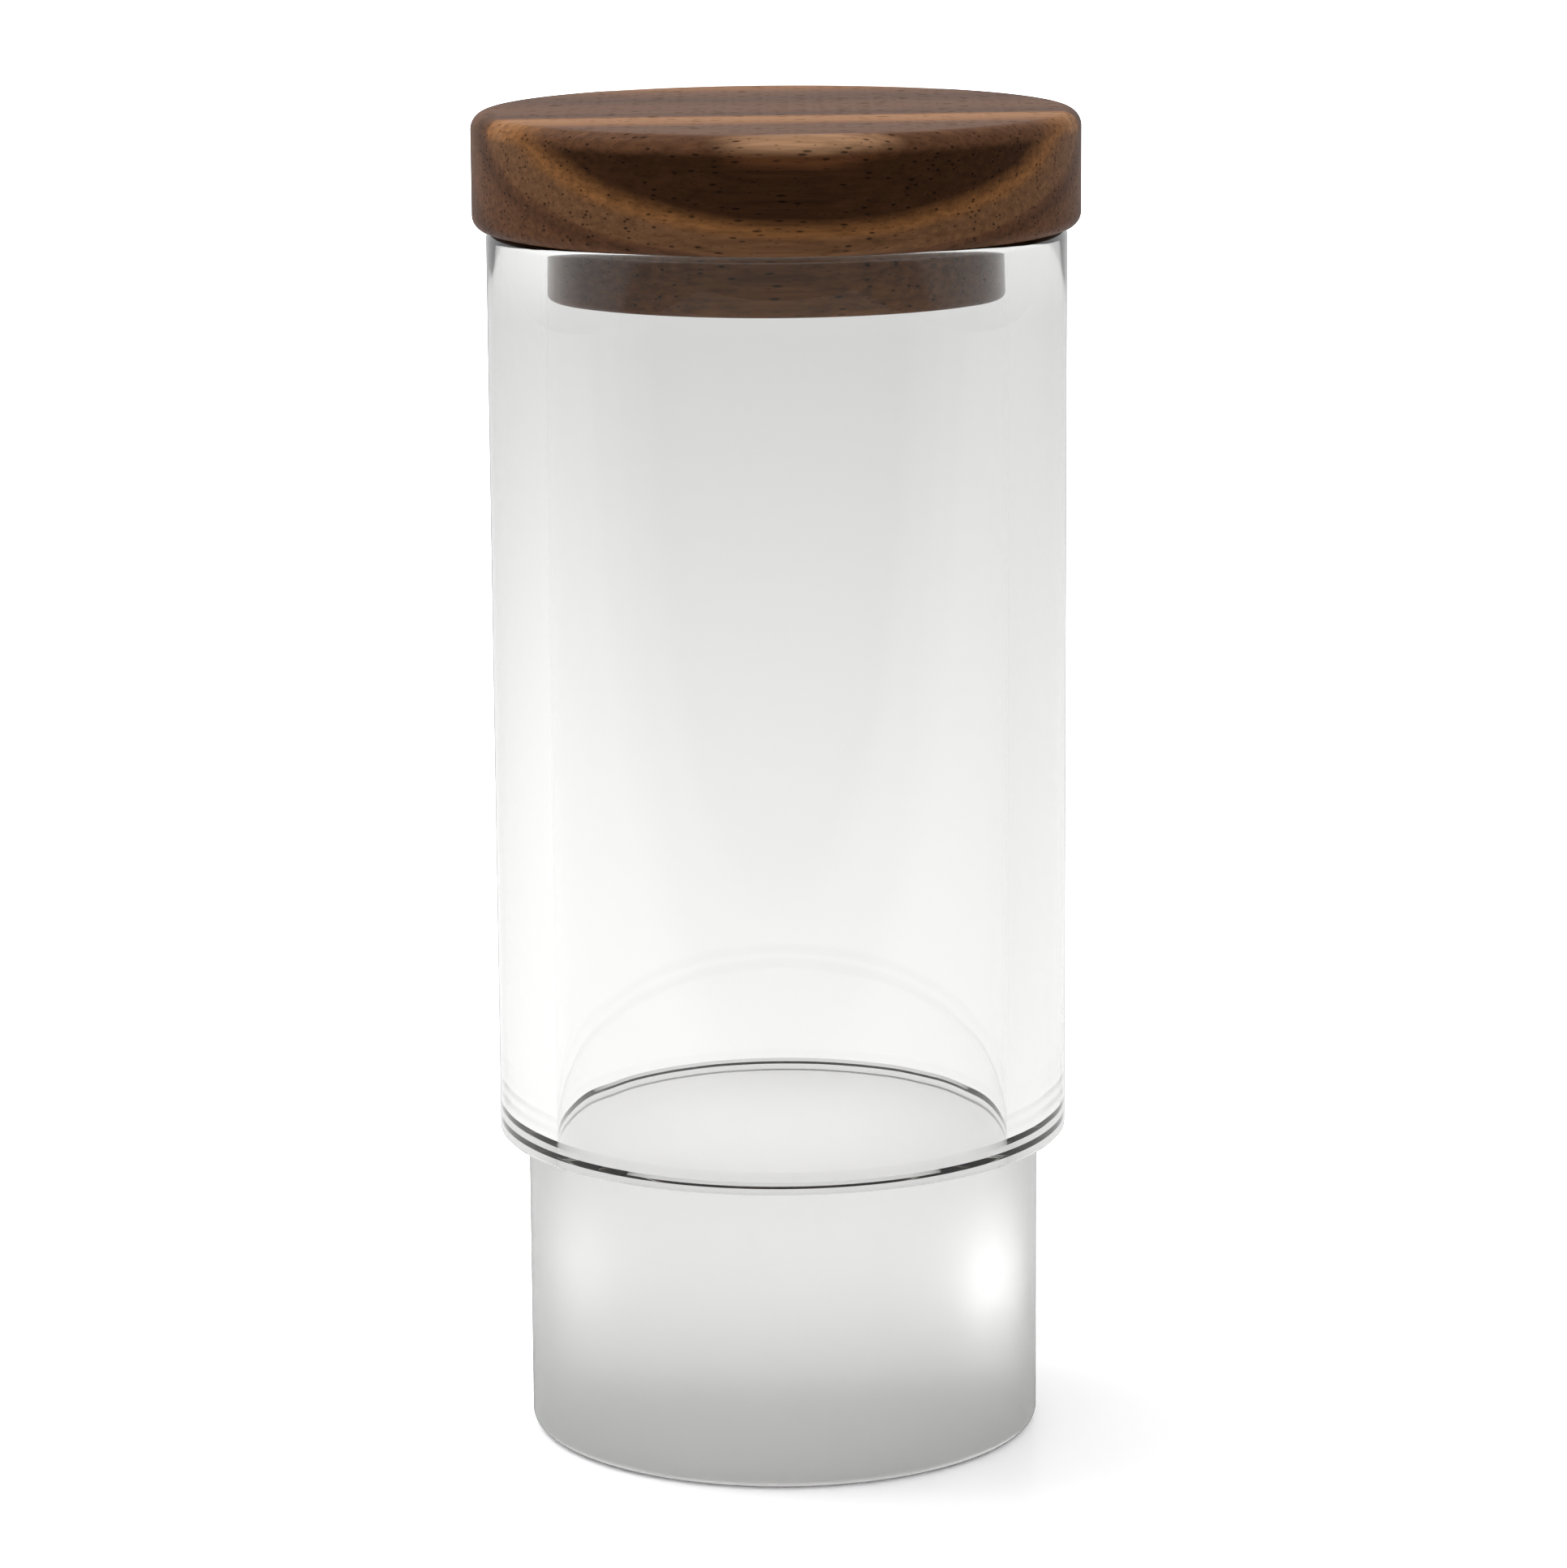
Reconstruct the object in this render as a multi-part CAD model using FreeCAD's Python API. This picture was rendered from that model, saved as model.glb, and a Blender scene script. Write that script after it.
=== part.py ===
import FreeCAD, Part
import os

# A lidded canister. A heavy clear glass tube stands on a narrower solid glass foot with a frosted
# surface, and the two are bonded with a thin ring of clear adhesive. The lid is a thick wooden disc
# with a wooden plug glued under it, which drops into the tube's bore.
# Every piece is turned about +Z. The origin is the centre of the face that the foot stands on.

# Driving dimensions, in millimetres.
FOOT_RADIUS = 40.5
FOOT_HEIGHT = 48.0
FOOT_BOTTOM_ROUNDING = 1.5
FOOT_TOP_CHAMFER = 0.4

BOND_THICKNESS = 0.2
BOND_SETBACK = 0.6

TUBE_RADIUS = 45.0
TUBE_WALL = 9.0
TUBE_LENGTH = 143.4
TUBE_RIM_ROUNDING = 1.4
TUBE_END_CHAMFER = 0.5

LID_RADIUS = 47.15
LID_THICKNESS = 18.0
LID_TOP_ROUNDING = 2.6
LID_BOTTOM_ROUNDING = 2.2

PLUG_CLEARANCE = 0.3
PLUG_DEPTH = 10.0
PLUG_BOTTOM_ROUNDING = 1.5

# Worked out from the driving dimensions.
BORE_RADIUS = TUBE_RADIUS - TUBE_WALL
TUBE_BOTTOM = FOOT_HEIGHT + BOND_THICKNESS
TUBE_TOP = TUBE_BOTTOM + TUBE_LENGTH
BOND_INNER_RADIUS = BORE_RADIUS + TUBE_END_CHAMFER + BOND_SETBACK
BOND_OUTER_RADIUS = FOOT_RADIUS - FOOT_TOP_CHAMFER - BOND_SETBACK
PLUG_RADIUS = BORE_RADIUS - PLUG_CLEARANCE

LENGTH_TOLERANCE = 1e-6


def disc(radius, height, bottom):
    """A solid cylinder about +Z whose lower face is at the height given by bottom."""
    return Part.makeCylinder(radius, height, FreeCAD.Vector(0, 0, bottom))


def circular_edges(solid, radius, height):
    """The solid's full circles about +Z that have this radius and lie at this height."""
    found = []
    for edge in solid.Edges:
        if edge.Curve.TypeId != "Part::GeomCircle":
            continue
        same_radius = abs(edge.Curve.Radius - radius) < LENGTH_TOLERANCE
        same_height = abs(edge.Curve.Center.z - height) < LENGTH_TOLERANCE
        if same_radius and same_height:
            found.append(edge)
    return found


def round_rim(solid, radius, height, rounding):
    """The solid with its edge at this radius and height rounded over."""
    return solid.makeFillet(rounding, circular_edges(solid, radius, height))


def chamfer_rim(solid, radius, height, size):
    """The solid with its edge at this radius and height cut back at 45 degrees."""
    return solid.makeChamfer(size, circular_edges(solid, radius, height))


def frosted_foot():
    """Solid glass block: its lower edge is ground round, its top edge only broken."""
    foot = disc(FOOT_RADIUS, FOOT_HEIGHT, 0.0)
    foot = round_rim(foot, FOOT_RADIUS, 0.0, FOOT_BOTTOM_ROUNDING)
    return chamfer_rim(foot, FOOT_RADIUS, FOOT_HEIGHT, FOOT_TOP_CHAMFER)


def bond_ring():
    """Film of clear adhesive between the foot's top face and the tube's ground end."""
    outside = disc(BOND_OUTER_RADIUS, BOND_THICKNESS, FOOT_HEIGHT)
    inside = disc(BOND_INNER_RADIUS, BOND_THICKNESS, FOOT_HEIGHT)
    return outside.cut(inside)


def glass_tube():
    """Open tube: its rim is fire-polished round, and its lower end is ground flat with chamfers."""
    tube = disc(TUBE_RADIUS, TUBE_LENGTH, TUBE_BOTTOM).cut(disc(BORE_RADIUS, TUBE_LENGTH, TUBE_BOTTOM))
    for radius in (TUBE_RADIUS, BORE_RADIUS):
        tube = round_rim(tube, radius, TUBE_TOP, TUBE_RIM_ROUNDING)
        tube = chamfer_rim(tube, radius, TUBE_BOTTOM, TUBE_END_CHAMFER)
    return tube


def lid_disc():
    """Wooden disc that rests on the tube's rim and overhangs it all round."""
    lid = disc(LID_RADIUS, LID_THICKNESS, TUBE_TOP)
    lid = round_rim(lid, LID_RADIUS, TUBE_TOP, LID_BOTTOM_ROUNDING)
    return round_rim(lid, LID_RADIUS, TUBE_TOP + LID_THICKNESS, LID_TOP_ROUNDING)


def lid_plug():
    """Wooden plug glued under the disc, a loose fit in the bore."""
    plug = disc(PLUG_RADIUS, PLUG_DEPTH, TUBE_TOP - PLUG_DEPTH)
    return round_rim(plug, PLUG_RADIUS, TUBE_TOP - PLUG_DEPTH, PLUG_BOTTOM_ROUNDING)


PIECES = {
    "frosted_foot": frosted_foot,
    "bond_ring": bond_ring,
    "glass_tube": glass_tube,
    "lid_disc": lid_disc,
    "lid_plug": lid_plug,
}

os.makedirs("parts", exist_ok=True)
for node, build in PIECES.items():
    shape = build()
    shape.exportStep("parts/" + node + ".step")
    print(node, "valid:", shape.isValid(), "solids:", len(shape.Solids), "volume in mm3:", round(shape.Volume))
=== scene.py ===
import logging
import math
from dataclasses import dataclass
from enum import Enum

import bpy
import numpy as np
from mathutils import Matrix, Vector


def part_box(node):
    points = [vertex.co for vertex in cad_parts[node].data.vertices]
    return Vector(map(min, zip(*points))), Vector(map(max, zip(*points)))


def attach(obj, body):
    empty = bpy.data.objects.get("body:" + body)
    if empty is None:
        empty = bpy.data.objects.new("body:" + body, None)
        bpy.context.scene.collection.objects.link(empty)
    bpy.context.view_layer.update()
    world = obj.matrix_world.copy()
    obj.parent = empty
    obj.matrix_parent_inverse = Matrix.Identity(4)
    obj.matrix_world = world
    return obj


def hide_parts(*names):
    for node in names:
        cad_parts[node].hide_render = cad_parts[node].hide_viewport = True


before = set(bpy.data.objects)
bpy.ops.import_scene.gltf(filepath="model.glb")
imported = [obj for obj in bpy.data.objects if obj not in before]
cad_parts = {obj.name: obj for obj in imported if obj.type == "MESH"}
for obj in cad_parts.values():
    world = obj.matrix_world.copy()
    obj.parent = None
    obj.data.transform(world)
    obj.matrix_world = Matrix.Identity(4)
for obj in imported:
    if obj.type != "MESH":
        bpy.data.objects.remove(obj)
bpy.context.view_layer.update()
LOG = logging.getLogger("canister")

# Lengths are in metres and angles in degrees, unless a name or a comment says otherwise.
MM = 0.001
SHARP_ANGLE = 28.0
# The middle range, in which a layered noise between 0 and 1 mostly stays.
MID_NOISE = (0.3, 0.7)


class Ease(Enum):
    """How the corner of a turned outline is eased."""

    ROUND = "round"
    FLAT = "flat"


@dataclass(frozen=True)
class Corner:
    """A corner of a turned outline: distance from the axis, height, and size and kind of its easing."""

    radius: float
    height: float
    easing: float = 0.0
    kind: Ease = Ease.ROUND

    def point(self) -> np.ndarray:
        """The sharp corner as (radius, height)."""
        return np.array([self.radius, self.height])


def unit(vector: np.ndarray) -> np.ndarray:
    """The vector at length one."""
    return vector / np.linalg.norm(vector)


def eased(before: Corner, corner: Corner, after: Corner, steps: int) -> np.ndarray:
    """Points of one corner of an outline, eased between its two neighbours.

    A round easing is the arc that touches both sides: centre + easing * (cos t, sin t), where the
    centre lies on the bisector at easing / cos(turn / 2) from the corner. A flat one is a chamfer.

    Args:
        before: The corner before this one.
        corner: The corner to ease.
        after: The corner after this one.
        steps: Arc steps.

    Returns:
        An array of (radius, height) points, one row each.
    """
    here = corner.point()
    if corner.easing == 0.0:
        return here[None, :]
    back, ahead = unit(before.point() - here), unit(after.point() - here)
    if corner.kind is Ease.FLAT:
        return np.stack([here + back * corner.easing, here + ahead * corner.easing])
    half_turn = (math.pi - math.acos(float(back @ ahead))) / 2
    centre = here + unit(back + ahead) * corner.easing / math.cos(half_turn)
    reach = corner.easing * math.tan(half_turn)
    start, end = unit(here + back * reach - centre), unit(here + ahead * reach - centre)
    share = np.linspace(0.0, 1.0, steps + 1)[:, None]
    angle = 2 * half_turn
    arc = (np.sin((1 - share) * angle) * start + np.sin(share * angle) * end) / math.sin(angle)
    return centre + corner.easing * arc


def turned_outline(corners: list[Corner], closed: bool, steps: int, stride: float) -> np.ndarray:
    """The full outline through eased corners, with long straight runs divided.

    Args:
        corners: The corners, anticlockwise with the axis on the left.
        closed: Whether the last corner joins the first. Otherwise both ends lie on the axis.
        steps: Arc steps of each round easing.
        stride: The longest straight run that stays undivided, in metres.

    Returns:
        An array of (radius, height) points, one row each.
    """
    count = len(corners)
    parts = []
    for index, corner in enumerate(corners):
        at_end = not closed and index in (0, count - 1)
        before, after = corners[index - 1], corners[(index + 1) % count]
        parts.append(corner.point()[None, :] if at_end else eased(before, corner, after, steps))
    bare = np.concatenate(parts)
    following = np.roll(bare, -1, axis=0) if closed else bare[1:]
    runs = []
    for start, end in zip(bare, following):
        pieces = max(1, math.ceil(np.linalg.norm(end - start) / stride))
        runs.append(start + (end - start) * np.arange(pieces)[:, None] / pieces)
    return np.concatenate(runs if closed else [*runs, bare[-1:]])


def grid_faces(rows: int, turns: int, closed: bool) -> np.ndarray:
    """Quads over a grid of rows by turns that closes round the turns, and over the rows if closed."""
    row = np.arange(rows if closed else rows - 1)[:, None]
    turn = np.arange(turns)[None, :]
    row_next, turn_next = (row + 1) % rows, (turn + 1) % turns
    corners = [row * turns + turn, row * turns + turn_next,
               row_next * turns + turn_next, row_next * turns + turn]
    return np.stack(corners, axis=-1).reshape(-1, 4)


def turned_piece(name: str, outline: np.ndarray, closed: bool, turns: int,
                 ripple: np.ndarray | None = None) -> bpy.types.Object:
    """Carries an outline once round +Z: x = r cos a, y = r sin a, z = h, for equal angles a.

    Args:
        name: The object's name.
        outline: (radius, height) points, anticlockwise with the axis on the left.
        closed: Whether the outline is a loop. Otherwise its ends are poles on the axis.
        turns: Steps round the axis.
        ripple: Added to the radius, one row for each outline point and one column for each turn.

    Returns:
        The new object, with its faces pointing outwards and its sharp edges marked.
    """
    angle = np.linspace(0.0, 2 * math.pi, turns, endpoint=False)
    ring = outline if closed else outline[1:-1]
    radius = np.repeat(ring[:, :1], turns, axis=1)
    if ripple is not None:
        radius = radius + ripple
    height = np.broadcast_to(ring[:, 1:], radius.shape)
    points = np.stack([radius * np.cos(angle), radius * np.sin(angle), height], axis=-1).reshape(-1, 3)
    faces = grid_faces(len(ring), turns, closed).tolist()
    if not closed:
        low, high = len(points), len(points) + 1
        first = np.arange(turns)
        last = first + (len(ring) - 1) * turns
        low_fan = np.stack([np.full(turns, low), np.roll(first, -1), first], axis=-1)
        high_fan = np.stack([last, np.roll(last, -1), np.full(turns, high)], axis=-1)
        faces += low_fan.tolist() + high_fan.tolist()
        poles = [[0.0, 0.0, outline[0, 1]], [0.0, 0.0, outline[-1, 1]]]
        points = np.concatenate([points, poles])
    mesh = bpy.data.meshes.new(name)
    mesh.from_pydata(points.tolist(), [], faces)
    mesh.shade_smooth()
    mesh.set_sharp_from_angle(angle=math.radians(SHARP_ANGLE))
    mesh.validate()
    piece = bpy.data.objects.new(name, mesh)
    bpy.context.scene.collection.objects.link(piece)
    return piece


def place(piece: bpy.types.Object, node: str, body: str, slot: str,
          *materials: bpy.types.Material) -> bpy.types.Object:
    """Gives a finished piece its materials and its body, and hides the CAD node that it stands for."""
    for material in materials:
        piece.data.materials.append(material)
    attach(piece, body)
    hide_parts(node)
    LOG.info("%s rides on %s and stands for %s", piece.name, body, node)
    return piece


class Wiring:
    """Adds nodes to one node tree and links them."""

    def __init__(self, tree: bpy.types.NodeTree) -> None:
        """Starts on this tree."""
        self.tree = tree

    def feed(self, socket: bpy.types.NodeSocket, value: object) -> None:
        """Links the socket if the value is an output socket, and sets it otherwise."""
        if isinstance(value, bpy.types.NodeSocket):
            self.tree.links.new(value, socket)
        else:
            socket.default_value = value

    def add(self, kind: str, inputs: dict | None = None, **settings: object) -> bpy.types.Node:
        """Adds a node.

        Args:
            kind: The node's type name.
            inputs: Values or output sockets for its inputs, by name or number.
            settings: The node's own properties.

        Returns:
            The new node.
        """
        node = self.tree.nodes.new(kind)
        for name, value in settings.items():
            setattr(node, name, value)
        for name, value in (inputs or {}).items():
            self.feed(node.inputs[name], value)
        return node

    def math(self, operation: str, *values: object) -> bpy.types.NodeSocket:
        """The result of a Math node on these values or sockets."""
        return self.add("ShaderNodeMath", dict(enumerate(values)), operation=operation).outputs[0]

    def span(self, value: object, low: float, high: float, to_low: float = 0.0, to_high: float = 1.0,
             smooth: bool = True) -> bpy.types.NodeSocket:
        """Maps a value from one range to another, clamped, with eased ends if smooth."""
        inputs = {"Value": value, "From Min": low, "From Max": high, "To Min": to_low, "To Max": to_high}
        style = "SMOOTHSTEP" if smooth else "LINEAR"
        return self.add("ShaderNodeMapRange", inputs, interpolation_type=style).outputs["Result"]

    def use(self, group: bpy.types.NodeTree, inputs: dict) -> bpy.types.Node:
        """Places a node group and feeds its inputs."""
        return self.add("ShaderNodeGroup", inputs, node_tree=group)

    def blend(self, share: object, first: object, second: object, mode: str = "MIX") -> bpy.types.NodeSocket:
        """The colour of a Mix node, whose colour sockets share their names and go by their numbers."""
        inputs = {0: share, 6: first, 7: second}
        return self.add("ShaderNodeMix", inputs, data_type="RGBA", blend_type=mode).outputs[2]

    def stretch(self, vector: object, scale: object) -> bpy.types.NodeSocket:
        """A position scaled along each axis, by three numbers or by a socket that holds them."""
        return self.add("ShaderNodeVectorMath", {0: vector, 1: scale}, operation="MULTIPLY").outputs["Vector"]

    def noise(self, vector: object, scale: object, detail: float,
              roughness: float = 0.5) -> bpy.types.NodeSocket:
        """A layered noise between 0 and 1."""
        inputs = {"Vector": vector, "Scale": scale, "Detail": detail, "Roughness": roughness}
        return self.add("ShaderNodeTexNoise", inputs).outputs["Fac"]

    def grey(self, level: object) -> bpy.types.NodeSocket:
        """A grey of this level."""
        inputs = {"Red": level, "Green": level, "Blue": level}
        return self.add("ShaderNodeCombineColor", inputs).outputs["Color"]

    def position(self) -> bpy.types.NodeSocket:
        """The place of a point in its object's own frame."""
        return self.add("ShaderNodeTexCoord").outputs["Object"]


def new_material(name: str) -> tuple[bpy.types.Material, Wiring, bpy.types.Node, bpy.types.Node]:
    """An empty node material, its wiring, its Principled shader and its output."""
    material = bpy.data.materials.new(name)
    material.use_nodes = True
    material.node_tree.nodes.clear()
    wiring = Wiring(material.node_tree)
    shader = wiring.add("ShaderNodeBsdfPrincipled")
    output = wiring.add("ShaderNodeOutputMaterial", {"Surface": shader.outputs["BSDF"]})
    return material, wiring, shader, output


def new_group(name: str, inputs: dict[str, tuple[str, object]],
              outputs: dict[str, str]) -> tuple[bpy.types.NodeTree, Wiring, bpy.types.Node, bpy.types.Node]:
    """A shader node group with named sockets.

    Args:
        name: The group's name.
        inputs: Socket kind and default value for each input name.
        outputs: Socket kind for each output name.

    Returns:
        The group, its wiring, its input node and its output node.
    """
    tree = bpy.data.node_groups.new(name, "ShaderNodeTree")
    for label, (kind, value) in inputs.items():
        socket = tree.interface.new_socket(label, in_out="INPUT", socket_type=kind)
        if value is not None:
            socket.default_value = value
    for label, kind in outputs.items():
        tree.interface.new_socket(label, in_out="OUTPUT", socket_type=kind)
    wiring = Wiring(tree)
    return tree, wiring, wiring.add("NodeGroupInput"), wiring.add("NodeGroupOutput")


def unevenness_group(fineness: float = 4.0, relief_depth: float = 0.1 * MM) -> bpy.types.NodeTree:
    """A group for glass: a roughness that drifts over the surface, and a normal with a faint relief.

    The drift is one noise with so many features per metre. The relief is a finer noise, drawn out upwards.

    Args:
        fineness: How many times finer the relief is than the drift.
        relief_depth: The depth of the relief at full strength.

    Returns:
        The group.
    """
    group, wiring, given, result = new_group(
        "surface unevenness",
        {"Vector": ("NodeSocketVector", None), "Per Metre": ("NodeSocketFloat", 40.0),
         "Lengthening": ("NodeSocketFloat", 1.0), "Low Roughness": ("NodeSocketFloat", 0.0),
         "High Roughness": ("NodeSocketFloat", 0.1), "Relief": ("NodeSocketFloat", 0.0)},
        {"Roughness": "NodeSocketFloat", "Normal": "NodeSocketVector"})
    spot, per_metre = given.outputs["Vector"], given.outputs["Per Metre"]
    drift = wiring.noise(spot, per_metre, detail=3.0)
    roughness = wiring.span(drift, *MID_NOISE, given.outputs["Low Roughness"],
                            given.outputs["High Roughness"], smooth=False)
    height = wiring.math("DIVIDE", 1.0, given.outputs["Lengthening"])
    upright = wiring.add("ShaderNodeCombineXYZ", {"X": 1.0, "Y": 1.0, "Z": height}).outputs["Vector"]
    relief = wiring.noise(wiring.stretch(spot, upright), wiring.math("MULTIPLY", per_metre, fineness),
                          detail=2.0)
    bump = wiring.add("ShaderNodeBump", {"Height": relief, "Distance": relief_depth,
                                         "Strength": given.outputs["Relief"]})
    wiring.feed(result.inputs["Roughness"], roughness)
    wiring.feed(result.inputs["Normal"], bump.outputs["Normal"])
    return group


@dataclass(frozen=True)
class Glass:
    """A glass surface on a faintly tinted body, which shows its tint only along a long path.

    The roughness drifts between its low and its high value, with so many features per metre. Clearness is
    the share that light passes through, and the rest is white. Density is the absorption per metre.
    """

    name: str
    low_roughness: float
    high_roughness: float
    per_metre: float
    lengthening: float = 1.0
    relief: float = 0.0
    ior: float = 1.5
    tint: tuple[float, float, float, float] = (0.97, 0.98, 0.76, 1.0)
    density: float = 2.5
    colour: tuple[float, float, float, float] = (1.0, 1.0, 1.0, 1.0)
    clearness: float = 1.0

    def material(self, unevenness: bpy.types.NodeTree) -> bpy.types.Material:
        """The finished glass.

        Args:
            unevenness: The group that makes the roughness and the relief.

        Returns:
            The material.
        """
        material, wiring, shader, output = new_material(self.name)
        surface = wiring.use(unevenness, {
            "Vector": wiring.position(), "Per Metre": self.per_metre, "Lengthening": self.lengthening,
            "Low Roughness": self.low_roughness, "High Roughness": self.high_roughness,
            "Relief": self.relief})
        for name, value in {"Base Color": self.colour, "IOR": self.ior,
                            "Transmission Weight": self.clearness, "Roughness": surface.outputs["Roughness"],
                            "Normal": surface.outputs["Normal"]}.items():
            wiring.feed(shader.inputs[name], value)
        if self.density > 0.0:
            volume = wiring.add("ShaderNodeVolumeAbsorption", {"Color": self.tint, "Density": self.density})
            wiring.feed(output.inputs["Volume"], volume.outputs["Volume"])
        return material


FROSTED = Glass("frosted_glass", 0.34, 0.40, per_metre=900.0, tint=(0.97, 0.98, 0.9, 1.0), relief=0.1,
                clearness=0.8)
ETCHED = Glass("etched_glass", 0.5, 0.6, per_metre=900.0, relief=0.15, clearness=0.0, density=0.0)
GROUND = Glass("ground_glass", 0.6, 0.7, per_metre=900.0, relief=0.2, colour=(0.9, 0.9, 0.88, 1.0),
               clearness=0.7)
ADHESIVE = Glass("clear_adhesive", 0.2, 0.3, per_metre=300.0, ior=1.48, density=0.0)
CLEAR = Glass("clear_glass", 0.0, 0.015, per_metre=30.0, lengthening=6.0, relief=0.02, density=12.0,
              tint=(0.6, 0.61, 0.56, 1.0))


def growth_group(slow_scale: tuple[float, float, float] = (0.012, 0.09, 0.09),
                 fibre_scale: tuple[float, float, float] = (0.03, 1.1, 1.1)) -> bpy.types.NodeTree:
    """A group for wood: how deep in the tree a point lies, across the growth layers, in millimetres.

    Depth = y - lean * z + bend * z * z - skew * x + waver * (noise - 0.5), for a point in millimetres
    from the middle of the top. The fibres run along X, so both noises are drawn out that way.

    Args:
        slow_scale: Features per millimetre along X, Y and Z of the noise that bends the layers.
        fibre_scale: Features per millimetre along X, Y and Z of the fibres.

    Returns:
        The group.
    """
    group, wiring, given, result = new_group(
        "growth layers",
        {"Vector": ("NodeSocketVector", None), "Lean": ("NodeSocketFloat", 0.5),
         "Bend": ("NodeSocketFloat", 0.08), "Skew": ("NodeSocketFloat", 0.1),
         "Waver": ("NodeSocketFloat", 3.0)},
        {"Depth": "NodeSocketFloat", "Fibre": "NodeSocketFloat"})
    spot = given.outputs["Vector"]
    x, y, z = wiring.add("ShaderNodeSeparateXYZ", {"Vector": spot}).outputs
    lean = wiring.math("MULTIPLY", z, given.outputs["Lean"])
    bend = wiring.math("MULTIPLY", wiring.math("MULTIPLY", z, z), given.outputs["Bend"])
    skew = wiring.math("MULTIPLY", x, given.outputs["Skew"])
    slow = wiring.noise(wiring.stretch(spot, slow_scale), 1.0, detail=4.0, roughness=0.6)
    waver = wiring.math("MULTIPLY", wiring.math("SUBTRACT", slow, 0.5), given.outputs["Waver"])
    depth = wiring.math("SUBTRACT", wiring.math("ADD", y, bend), wiring.math("ADD", lean, skew))
    fibre = wiring.noise(wiring.stretch(spot, fibre_scale), 1.0, detail=5.0, roughness=0.65)
    wiring.feed(result.inputs["Depth"], wiring.math("ADD", depth, waver))
    wiring.feed(result.inputs["Fibre"], wiring.span(fibre, *MID_NOISE, smooth=False))
    return group


def pores_group(soft_edge: float = 0.6) -> bpy.types.NodeTree:
    """A group for wood: the open ends and grooves of its pores, as a mask.

    Each pore is a cell of a random cell pattern drawn out along the fibres. It shows within its
    reach of the cell's middle, in the share of cells that the density keeps.

    Args:
        soft_edge: The share of the reach over which a pore fades in from its edge.

    Returns:
        The group.
    """
    group, wiring, given, result = new_group(
        "pores",
        {"Vector": ("NodeSocketVector", None), "Length": ("NodeSocketFloat", 3.0),
         "Width": ("NodeSocketFloat", 0.7), "Reach": ("NodeSocketFloat", 0.3),
         "Density": ("NodeSocketFloat", 0.4)},
        {"Mask": "NodeSocketFloat"})
    across = wiring.math("DIVIDE", 1.0, given.outputs["Width"])
    along = wiring.math("DIVIDE", 1.0, given.outputs["Length"])
    scale = wiring.add("ShaderNodeCombineXYZ", {"X": along, "Y": across, "Z": across}).outputs["Vector"]
    cells = wiring.add("ShaderNodeTexVoronoi", {
        "Vector": wiring.stretch(given.outputs["Vector"], scale), "Scale": 1.0})
    off_middle = wiring.math("DIVIDE", cells.outputs["Distance"], given.outputs["Reach"])
    inside = wiring.math("SUBTRACT", 1.0, off_middle)
    lot = wiring.add("ShaderNodeSeparateColor", {"Color": cells.outputs["Color"]}).outputs["Red"]
    kept = wiring.math("LESS_THAN", lot, given.outputs["Density"])
    wiring.feed(result.inputs["Mask"], wiring.math("MULTIPLY", wiring.span(inside, 0.0, soft_edge), kept))
    return group


class WoodTone(Enum):
    """The tones of the wood, from its dark late growth to its pale early growth, and a cream painted
    highlight.
    """

    DARK = (0.044, 0.018, 0.0078, 1.0)
    RUSSET = (0.105, 0.040, 0.016, 1.0)
    BROWN = (0.125, 0.056, 0.028, 1.0)
    UMBER = (0.085, 0.038, 0.020, 1.0)
    TAN = (0.165, 0.08, 0.038, 1.0)
    ORANGE = (0.25, 0.108, 0.038, 1.0)
    PALE = (0.33, 0.157, 0.066, 1.0)
    # A painted highlight: the lit band along the front of the lid's top edge.
    PAINTED_HIGHLIGHT = (0.42, 0.235, 0.13, 1.0)


# Growth layers, each as its depth in millimetres and the tone there. Between them the tone changes evenly.
Layers = tuple[tuple[float, WoodTone], ...]
# The face's tones: lighter than the side's at the same depth, as painted light on the top, with a painted
# highlight in the cream band at the front edge.
LIT_FACE_LAYERS = (
    (-50.0, WoodTone.PAINTED_HIGHLIGHT), (-46.0, WoodTone.PAINTED_HIGHLIGHT), (-43.5, WoodTone.BROWN), (-27.5, WoodTone.BROWN),
    (-22.5, WoodTone.ORANGE), (-16.0, WoodTone.PALE), (-12.2, WoodTone.ORANGE), (-11.4, WoodTone.BROWN),
    (-7.0, WoodTone.UMBER), (-2.0, WoodTone.BROWN), (8.0, WoodTone.BROWN), (19.0, WoodTone.UMBER),
    (31.0, WoodTone.BROWN), (42.0, WoodTone.ORANGE), (50.0, WoodTone.ORANGE),
)
# The side's tones: darker than the face's at the same depth, as painted shade on the side.
SHADED_SIDE_LAYERS = (
    (-50.0, WoodTone.RUSSET), (-44.5, WoodTone.RUSSET), (-42.5, WoodTone.DARK), (-29.5, WoodTone.DARK),
    (-24.0, WoodTone.ORANGE), (-20.5, WoodTone.TAN), (-12.4, WoodTone.TAN), (-11.2, WoodTone.BROWN),
    (-7.0, WoodTone.UMBER), (-2.0, WoodTone.BROWN), (8.0, WoodTone.BROWN), (19.0, WoodTone.UMBER),
    (31.0, WoodTone.BROWN), (36.5, WoodTone.ORANGE), (44.0, WoodTone.ORANGE), (47.0, WoodTone.BROWN),
    (58.0, WoodTone.UMBER), (66.0, WoodTone.RUSSET), (72.0, WoodTone.DARK), (90.0, WoodTone.BROWN),
)
PLUG_LAYERS = (
    (-60.0, WoodTone.BROWN), (-35.0, WoodTone.ORANGE), (-20.0, WoodTone.RUSSET), (0.0, WoodTone.ORANGE),
    (30.0, WoodTone.ORANGE), (60.0, WoodTone.BROWN),
)


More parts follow.
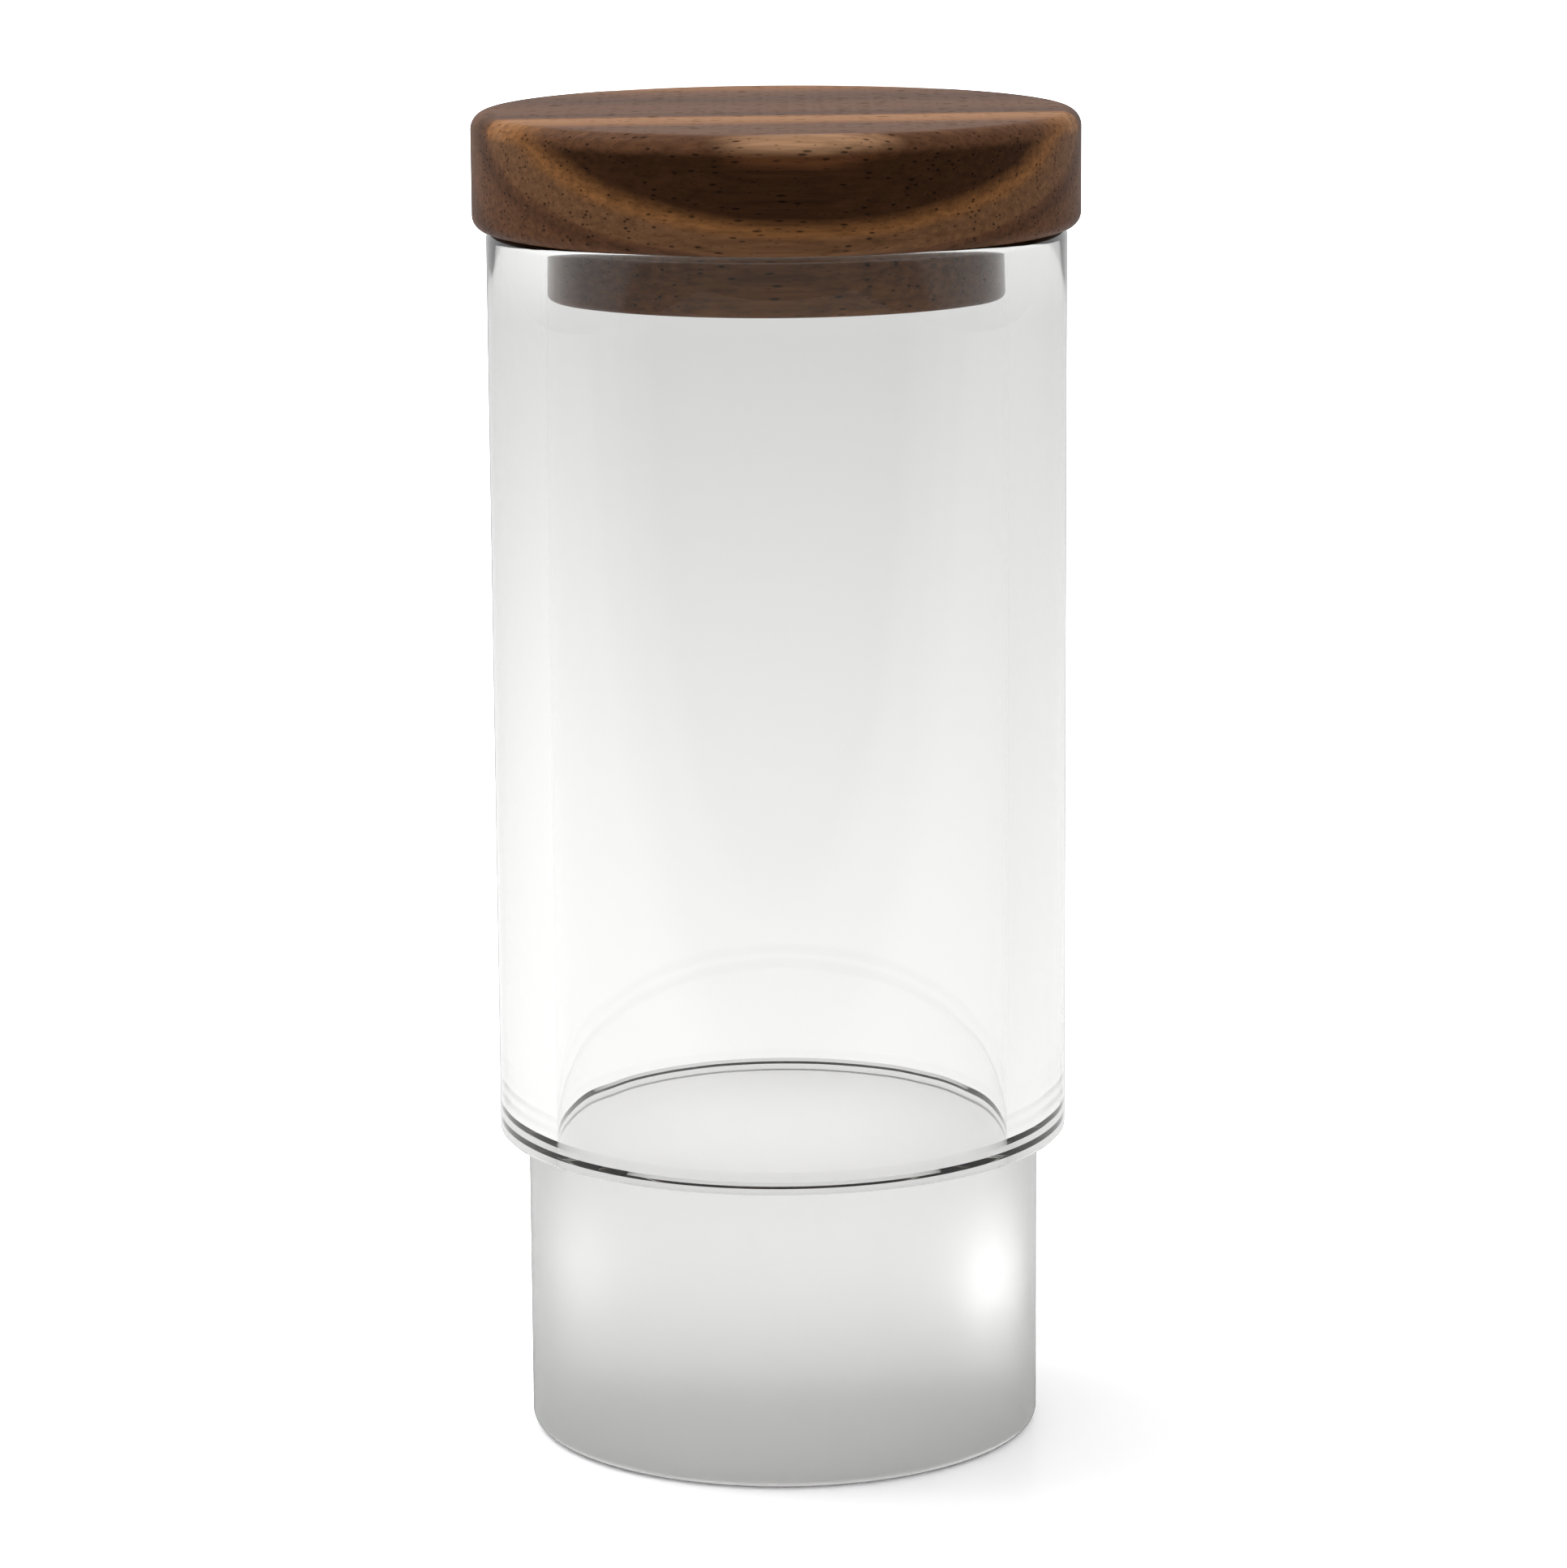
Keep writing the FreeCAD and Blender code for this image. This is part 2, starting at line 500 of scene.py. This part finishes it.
@dataclass(frozen=True)
class Pores:
    """One kind of pore: the length and the width of its cell in millimetres, and how it fills that cell.

    Reach is how far the pore goes from the middle of its cell, with the cell as one. Density is the share
    of cells that hold a pore, and weight how dark and deep it is.
    """

    length: float
    width: float
    reach: float
    density: float
    weight: float = 1.0


GROOVES = Pores(length=3.2, width=0.75, reach=0.32, density=0.45)
DOTS = Pores(length=1.4, width=0.45, reach=0.30, density=0.35, weight=0.6)


@dataclass(frozen=True)
class Wood:
    """Dark open-pored wood with the layers that one piece of it shows on its face and on its side.

    Top is the height of the lid's top, which the layers count from. The side's layers end and the face's
    begin between the heights side_start and face_end, in millimetres from the top. Where the two differ at
    one depth, the face's lighter tones are painted light and the side's darker tones painted shade, over the
    real growth layers. Shift moves the piece in the tree, in millimetres. Lean, bend, skew and waver are
    those of the growth group.
    """

    name: str
    # The face's layers carry painted light and the side's painted shade, where the two differ.
    face: Layers
    side: Layers
    top: float
    face_end: float = -1.8
    side_start: float = -3.4
    shift: tuple[float, float, float] = (0.0, 0.0, 0.0)
    lean: float = 0.517
    bend: float = 0.079
    skew: float = 0.097
    waver: float = 5.0
    fibre_contrast: float = 0.35
    fibre_relief: float = 0.12
    pore_shade: float = 0.30
    pore_depth: float = 0.12 * MM
    relief: float = 0.6
    roughness: float = 0.42
    pore_roughness: float = 0.75
    gloss: float = 0.025

    def layer_colour(self, wiring: Wiring, layers: Layers,
                     depth: bpy.types.NodeSocket) -> bpy.types.NodeSocket:
        """The tone of a depth, by a ramp through the layers."""
        start, end = layers[0][0], layers[-1][0]
        ramp = wiring.add("ShaderNodeValToRGB", {"Fac": wiring.span(depth, start, end, smooth=False)})
        stops = ramp.color_ramp.elements
        stops[1].position = 1.0
        for at, _ in layers[1:-1]:
            stops.new((at - start) / (end - start))
        for stop, (_, tone) in zip(stops, layers):
            stop.color = tone.value
        return ramp.outputs["Color"]

    def bare_colour(self, wiring: Wiring, spot: bpy.types.NodeSocket, depth: bpy.types.NodeSocket,
                    fibre: bpy.types.NodeSocket) -> bpy.types.NodeSocket:
        """The colour without pores: the face's layers over the side's, streaked by the fibres.

        Where they differ, the face's tones carry painted light and the side's painted shade.

        Args:
            wiring: The material's wiring.
            spot: The place in millimetres from the middle of the top.
            depth: The depth across the growth layers.
            fibre: The level of the fibres, from 0 to 1.

        Returns:
            The colour.
        """
        height = wiring.add("ShaderNodeSeparateXYZ", {"Vector": spot}).outputs["Z"]
        # Near the top edge the side's darker tones, painted shade, give way to the face's lighter tones,
        # painted light.
        colour = wiring.blend(wiring.span(height, self.side_start, self.face_end),
                              self.layer_colour(wiring, self.side, depth),
                              self.layer_colour(wiring, self.face, depth))
        streak = wiring.span(fibre, 0.0, 1.0, 1.0 - self.fibre_contrast, 1.0 + self.fibre_contrast,
                             smooth=False)
        return wiring.blend(1.0, colour, wiring.grey(streak), "MULTIPLY")

    def pore_mask(self, wiring: Wiring, pores: bpy.types.NodeTree,
                  spot: bpy.types.NodeSocket) -> bpy.types.NodeSocket:
        """The grooves and the dots together, from 0 beside them to 1 inside."""
        masks = []
        for kind in (GROOVES, DOTS):
            cells = wiring.use(pores, {"Vector": spot, "Length": kind.length, "Width": kind.width,
                                       "Reach": kind.reach, "Density": kind.density})
            masks.append(wiring.math("MULTIPLY", cells.outputs["Mask"], kind.weight))
        return wiring.math("MAXIMUM", *masks)

    def material(self, growth: bpy.types.NodeTree, pores: bpy.types.NodeTree) -> bpy.types.Material:
        """The finished wood.

        Args:
            growth: The group that makes the depth and the fibres.
            pores: The group that makes the pores.

        Returns:
            The material.
        """
        material, wiring, shader, _ = new_material(self.name)
        x, y, z = self.shift
        spot = wiring.add("ShaderNodeMapping", {
            "Vector": wiring.position(), "Location": (x, y, z - self.top / MM),
            "Scale": (1 / MM, 1 / MM, 1 / MM)}).outputs["Vector"]
        figure = wiring.use(growth, {"Vector": spot, "Lean": self.lean, "Bend": self.bend,
                                     "Skew": self.skew, "Waver": self.waver}).outputs
        bare = self.bare_colour(wiring, spot, figure["Depth"], figure["Fibre"])
        pore = self.pore_mask(wiring, pores, spot)
        shaded = wiring.blend(1.0, bare, (self.pore_shade, self.pore_shade, self.pore_shade, 1.0), "MULTIPLY")
        wiring.feed(shader.inputs["Base Color"], wiring.blend(pore, bare, shaded))
        wiring.feed(shader.inputs["Specular IOR Level"], self.gloss)
        wiring.feed(shader.inputs["Roughness"],
                    wiring.span(pore, 0.0, 1.0, self.roughness, self.pore_roughness, smooth=False))
        ridge = wiring.math("MULTIPLY", figure["Fibre"], self.fibre_relief)
        bump = wiring.add("ShaderNodeBump", {"Height": wiring.math("SUBTRACT", ridge, pore),
                                             "Distance": self.pore_depth, "Strength": self.relief})
        wiring.feed(shader.inputs["Normal"], bump.outputs["Normal"])
        return material


@dataclass
class FrostedFoot:
    """The solid glass block that the canister stands on. Its flats take their own finish."""

    bottom_rounding: float = 1.5 * MM
    top_chamfer: float = 0.4 * MM
    flat_height: float = 0.1 * MM
    arc_steps: int = 10
    stride: float = 6 * MM
    turns: int = 256

    def build(self, side: bpy.types.Material, flat: bpy.types.Material,
              ground: bpy.types.Material) -> bpy.types.Object:
        """Turns the block from its outline and dresses it.

        Args:
            side: The etched glass of its side.
            flat: The whiter glass of the top that the tube is bonded to.
            ground: The coarser glass of the flat that it stands on.

        Returns:
            The finished block.
        """
        low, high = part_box("frosted_foot")
        radius = max(high.x, high.y)
        corners = [Corner(0.0, low.z), Corner(radius, low.z, self.bottom_rounding),
                   Corner(radius, high.z, self.top_chamfer, Ease.FLAT), Corner(0.0, high.z)]
        outline = turned_outline(corners, closed=False, steps=self.arc_steps, stride=self.stride)
        piece = turned_piece("foot_block", outline, False, self.turns)
        place(piece, "frosted_foot", "canister", "frosted_glass", side, flat, ground)
        centres = np.empty(len(piece.data.polygons) * 3)
        piece.data.polygons.foreach_get("center", centres)
        heights = centres[2::3]
        index = np.select([heights > high.z - self.flat_height, heights < low.z + self.flat_height], [1, 2])
        piece.data.polygons.foreach_set("material_index", index.astype(np.int32))
        return piece


@dataclass
class BondRing:
    """The film of adhesive between the foot and the tube."""

    width: float = 2.4 * MM
    inset: float = 0.02 * MM
    turns: int = 256

    def build(self, material: bpy.types.Material) -> bpy.types.Object:
        """Turns the film, a hair thinner than its gap so that no faces coincide. Nothing in it is divided."""
        low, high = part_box("bond_ring")
        outer = max(high.x, high.y)
        inner, bottom, top = outer - self.width, low.z + self.inset, high.z - self.inset
        corners = [Corner(inner, bottom), Corner(outer, bottom), Corner(outer, top), Corner(inner, top)]
        outline = turned_outline(corners, closed=True, steps=1, stride=math.inf)
        piece = turned_piece("bond_film", outline, True, self.turns)
        return place(piece, "bond_ring", "canister", "clear_adhesive", material)


@dataclass
class GlassTube:
    """The thick-walled tube, with a polished rim and a ground lower end."""

    wall: float = 9.0 * MM
    rim_rounding: float = 1.4 * MM
    end_chamfer: float = 0.5 * MM
    ripple_height: float = 0.012 * MM
    ripple_waves: tuple[int, ...] = (7, 11, 16, 23, 31)
    ripple_seed: int = 11
    arc_steps: int = 10
    stride: float = 12 * MM
    turns: int = 384

    def ripple(self, outline: np.ndarray, middle: float) -> np.ndarray:
        """Faint drawing lines along the bore, only on the inside.

        They are height * first wave * sum of cos(wave * angle + phase) / wave, round the axis.

        Args:
            outline: The tube's outline.
            middle: The radius that divides the inside from the outside.

        Returns:
            What is added to the radius of each outline point at each turn.
        """
        draw = np.random.default_rng(self.ripple_seed)
        waves = np.array(self.ripple_waves)
        angle = np.linspace(0.0, 2 * math.pi, self.turns, endpoint=False)
        phase = draw.uniform(0.0, 2 * math.pi, len(waves))
        lines = (np.cos(waves[:, None] * angle + phase[:, None]) / waves[:, None]).sum(axis=0)
        return self.ripple_height * waves[0] * lines[None, :] * (outline[:, :1] < middle)

    def build(self, material: bpy.types.Material) -> bpy.types.Object:
        """Turns the tube from its outline, adds the drawing lines and dresses it."""
        low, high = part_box("glass_tube")
        outer = max(high.x, high.y)
        bore = outer - self.wall
        corners = [Corner(bore, low.z, self.end_chamfer, Ease.FLAT),
                   Corner(outer, low.z, self.end_chamfer, Ease.FLAT),
                   Corner(outer, high.z, self.rim_rounding), Corner(bore, high.z, self.rim_rounding)]
        outline = turned_outline(corners, closed=True, steps=self.arc_steps, stride=self.stride)
        ripple = self.ripple(outline, (outer + bore) / 2)
        piece = turned_piece("tube_wall", outline, True, self.turns, ripple)
        return place(piece, "glass_tube", "canister", "clear_glass", material)


@dataclass
class WoodenLid:
    """The disc that covers the rim and the plug that centres it."""

    top_rounding: float = 2.6 * MM
    bottom_rounding: float = 2.2 * MM
    plug_rounding: float = 1.5 * MM
    disc_arc_steps: int = 12
    plug_arc_steps: int = 10
    stride: float = 6 * MM
    turns: int = 256

    def disc(self, material: bpy.types.Material) -> bpy.types.Object:
        """Turns the disc."""
        low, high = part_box("lid_disc")
        radius = max(high.x, high.y)
        corners = [Corner(0.0, low.z), Corner(radius, low.z, self.bottom_rounding),
                   Corner(radius, high.z, self.top_rounding), Corner(0.0, high.z)]
        outline = turned_outline(corners, closed=False, steps=self.disc_arc_steps, stride=self.stride)
        piece = turned_piece("lid_top", outline, False, self.turns)
        return place(piece, "lid_disc", "lid", "lid_wood", material)

    def plug(self, material: bpy.types.Material) -> bpy.types.Object:
        """Turns the plug."""
        low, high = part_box("lid_plug")
        radius = max(high.x, high.y)
        corners = [Corner(0.0, low.z), Corner(radius, low.z, self.plug_rounding),
                   Corner(radius, high.z), Corner(0.0, high.z)]
        outline = turned_outline(corners, closed=False, steps=self.plug_arc_steps, stride=self.stride)
        piece = turned_piece("lid_stopper", outline, False, self.turns)
        return place(piece, "lid_plug", "lid", "lid_wood", material)


@dataclass
class Softbox:
    """A rectangular soft light that faces a point on the canister's axis.

    Azimuth counts from behind the canister towards +X. With only_for it lights that one piece only.
    """

    name: str
    azimuth: float
    elevation: float
    distance: float
    width: float
    height: float
    radiance: float
    aim_height: float = 0.1
    seen_in_glass: bool = True
    only_for: str = ""

    def build(self) -> None:
        """Hangs the light round the point that it faces, and turns it to that point."""
        aim = Vector((0.0, 0.0, self.aim_height))
        side, rise = math.radians(self.azimuth), math.radians(self.elevation)
        away = Vector((math.sin(side) * math.cos(rise), math.cos(side) * math.cos(rise), math.sin(rise)))
        data = bpy.data.lights.new(self.name, "AREA")
        data.shape = "RECTANGLE"
        data.size, data.size_y = self.width, self.height
        data.energy = self.radiance * math.pi * self.width * self.height
        light = bpy.data.objects.new(self.name, data)
        light.location = aim + away * self.distance
        light.rotation_mode = "QUATERNION"
        light.rotation_quaternion = away.to_track_quat("Z", "Y")
        light.visible_camera = False
        light.visible_glossy = light.visible_transmission = self.seen_in_glass
        if self.only_for:
            receivers = bpy.data.collections.new(self.name)
            receivers.objects.link(bpy.data.objects[self.only_for])
            light.light_linking.receiver_collection = receivers
        bpy.context.scene.collection.objects.link(light)


SOFTBOXES = (
    Softbox("key_light", azimuth=-75.0, elevation=60.0, distance=1.0, width=0.6, height=0.6, radiance=3.6),
    Softbox("right_card", azimuth=-21.0, elevation=0.0, distance=0.072, width=0.022, height=0.008,
            radiance=4.4, aim_height=0.0042, only_for="foot_block"),
    Softbox("left_card", azimuth=22.0, elevation=0.0, distance=0.075, width=0.026, height=0.012,
            radiance=1.0, aim_height=0.006, only_for="foot_block"),
    Softbox("bore_light", azimuth=0.0, elevation=90.0, distance=0.12, width=0.045, height=0.045,
            radiance=11.0, aim_height=0.05, seen_in_glass=False),
)


@dataclass
class Studio:
    """The pale floor, the grey room, the white background and the camera.

    The floor's tone is a product of three painted shades. A painted contact shadow darkens it close to the
    foot, between two distances from the axis. Behind the foot a painted falloff of light takes it from the
    near to the far shade, and well in front of it a painted shade takes it down to the front shade, each
    between two places along Y.
    The room's levels are those of its front, its back and its top, and its dome is the span of upward slope
    over which the top fades in.
    """

    floor_width: float = 3.0
    floor_front: float = 2.6
    floor_back: float = 2.6
    floor_thickness: float = 4 * MM
    floor_gap: float = 0.2 * MM
    # Painted shade on the floor: a painted falloff of light from near to far behind the foot, and darker well
    # in front of it.
    near_shade: float = 0.95
    far_shade: float = 0.765
    front_shade: float = 0.42
    front_start: float = -0.24
    front_end: float = -0.36
    # Painted contact shadow round the foot: the floor's grey there, and the two distances from the axis over
    # which it fades.
    painted_contact_shade: float = 0.7
    painted_contact_near: float = 0.045
    painted_contact_far: float = 0.11
    shade_near: float = 0.15
    shade_far: float = 1.6
    floor_roughness: float = 0.3
    floor_gloss: float = 0.1
    white_level: float = 1.65
    back_level: float = 0.8
    front_level: float = 0.15
    front_side: float = -0.3
    back_side: float = 0.9
    top_level: float = 1.1
    dome_low: float = 0.2
    dome_high: float = 0.7
    camera_distance: float = 0.8938
    camera_height: float = 0.2857
    camera_pitch: float = 11.542
    camera_yaw: float = 0.031
    camera_roll: float = 0.397
    lens_length: float = 132.43
    lens_frame: float = 36.0
    glass_bounces: int = 32
    gloss_bounces: int = 12
    plain_bounces: int = 4
    speckle_limit: float = 4.0

    def floor_tone(self, wiring: Wiring) -> bpy.types.NodeSocket:
        """The floor's grey, from the distance to the axis and the place along Y: painted shade near the foot,
        behind and in front.
        """
        spot = wiring.position()
        behind = wiring.add("ShaderNodeSeparateXYZ", {"Vector": spot}).outputs["Y"]
        away = wiring.add("ShaderNodeVectorMath", {0: spot}, operation="LENGTH").outputs["Value"]
        # Painted contact shadow: the floor is darker close to the foot.
        painted_contact_shadow = wiring.span(away, self.painted_contact_near, self.painted_contact_far, self.painted_contact_shade, 1.0)
        # Painted falloff of light: the floor grows darker further behind.
        back = wiring.span(behind, self.shade_near, self.shade_far, self.near_shade, self.far_shade,
                           smooth=False)
        # Painted shade: the floor grows darker well in front of the foot, towards the dark front of the room.
        front = wiring.span(behind, self.front_end, self.front_start, self.front_shade, 1.0)
        return wiring.grey(wiring.math("MULTIPLY", wiring.math("MULTIPLY", painted_contact_shadow, back), front))

    def floor(self) -> None:
        """A pale sheet a hair below the foot. The camera sees only the shadows on it."""
        half, top, bottom = self.floor_width / 2, -self.floor_gap, -self.floor_gap - self.floor_thickness
        points = [(x, y, z) for z in (bottom, top) for y in (-self.floor_front, self.floor_back)
                  for x in (-half, half)]
        faces = [(0, 2, 3, 1), (4, 5, 7, 6), (0, 1, 5, 4), (3, 2, 6, 7), (2, 0, 4, 6), (1, 3, 7, 5)]
        mesh = bpy.data.meshes.new("studio_floor")
        mesh.from_pydata(points, [], faces)
        piece = bpy.data.objects.new("studio_floor", mesh)
        bpy.context.scene.collection.objects.link(piece)
        material, wiring, shader, _ = new_material("studio_floor")
        wiring.feed(shader.inputs["Base Color"], self.floor_tone(wiring))
        wiring.feed(shader.inputs["Roughness"], self.floor_roughness)
        wiring.feed(shader.inputs["Specular IOR Level"], self.floor_gloss)
        mesh.materials.append(material)
        piece.is_shadow_catcher = True

    def world(self) -> None:
        """White to the camera, and to everything else a grey room that is brighter behind and overhead."""
        world = bpy.data.worlds.new("studio")
        world.use_nodes = True
        world.node_tree.nodes.clear()
        wiring = Wiring(world.node_tree)
        towards = wiring.add("ShaderNodeSeparateXYZ",
                             {"Vector": wiring.add("ShaderNodeTexCoord").outputs["Generated"]})
        level = wiring.span(towards.outputs["Y"], self.front_side, self.back_side, self.front_level,
                            self.back_level)
        level = wiring.math("MAXIMUM", level, wiring.span(
            towards.outputs["Z"], self.dome_low, self.dome_high, 0.0, self.top_level))
        seen = wiring.add("ShaderNodeLightPath").outputs["Is Camera Ray"]
        level = wiring.math("MAXIMUM", level, wiring.math("MULTIPLY", seen, self.white_level))
        shader = wiring.add("ShaderNodeBackground", {"Color": (1.0, 1.0, 1.0, 1.0), "Strength": level})
        wiring.add("ShaderNodeOutputWorld", {"Surface": shader.outputs["Background"]})
        bpy.context.scene.world = world

    def lights(self) -> None:
        """The soft lights, one after the other."""
        for box in SOFTBOXES:
            box.build()
            LOG.info("%s hangs %.2f m off", box.name, box.distance)

    def camera(self) -> None:
        """A long lens a little above the lid, looking down on the canister."""
        data = bpy.data.cameras.new("camera")
        data.sensor_fit = "VERTICAL"
        data.sensor_width = data.sensor_height = self.lens_frame
        data.lens = self.lens_length
        camera = bpy.data.objects.new("camera", data)
        yaw, pitch, roll = (math.radians(a) for a in (self.camera_yaw, self.camera_pitch, self.camera_roll))
        turn = Matrix.Rotation(-yaw, 4, "Z") @ Matrix.Rotation(math.pi / 2 - pitch, 4, "X")
        turn = turn @ Matrix.Rotation(-roll, 4, "Z")
        camera.matrix_world = Matrix.Translation((0.0, -self.camera_distance, self.camera_height)) @ turn
        bpy.context.scene.collection.objects.link(camera)
        bpy.context.scene.camera = camera

    def film(self) -> None:
        """Plain colours, and enough bounces for thick glass."""
        scene = bpy.context.scene
        scene.view_settings.view_transform = "Standard"
        scene.cycles.max_bounces = self.glass_bounces
        scene.cycles.transmission_bounces = self.glass_bounces
        scene.cycles.glossy_bounces = self.gloss_bounces
        scene.cycles.diffuse_bounces = self.plain_bounces
        scene.cycles.use_denoising = True
        scene.cycles.sample_clamp_indirect = self.speckle_limit

    def build(self) -> None:
        """Sets up everything round the canister."""
        self.floor()
        self.world()
        self.lights()
        self.camera()
        self.film()


def main() -> None:
    """Builds the canister's pieces in order, then the studio."""
    logging.basicConfig(level=logging.INFO, format="%(name)s: %(message)s")
    unevenness, growth, pores = unevenness_group(), growth_group(), pores_group()
    FrostedFoot().build(*(glass.material(unevenness) for glass in (FROSTED, ETCHED, GROUND)))
    BondRing().build(ADHESIVE.material(unevenness))
    GlassTube().build(CLEAR.material(unevenness))
    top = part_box("lid_disc")[1].z
    # The disc's face takes painted light and its side painted shade.
    disc = Wood("disc_wood", LIT_FACE_LAYERS, SHADED_SIDE_LAYERS, top)
    plug = Wood("plug_wood", PLUG_LAYERS, PLUG_LAYERS, top, shift=(14.0, 3.0, 26.0), lean=0.3, bend=0.01)
    lid = WoodenLid()
    lid.disc(disc.material(growth, pores))
    lid.plug(plug.material(growth, pores))
    Studio().build()


if __name__ == "__main__":
    main()
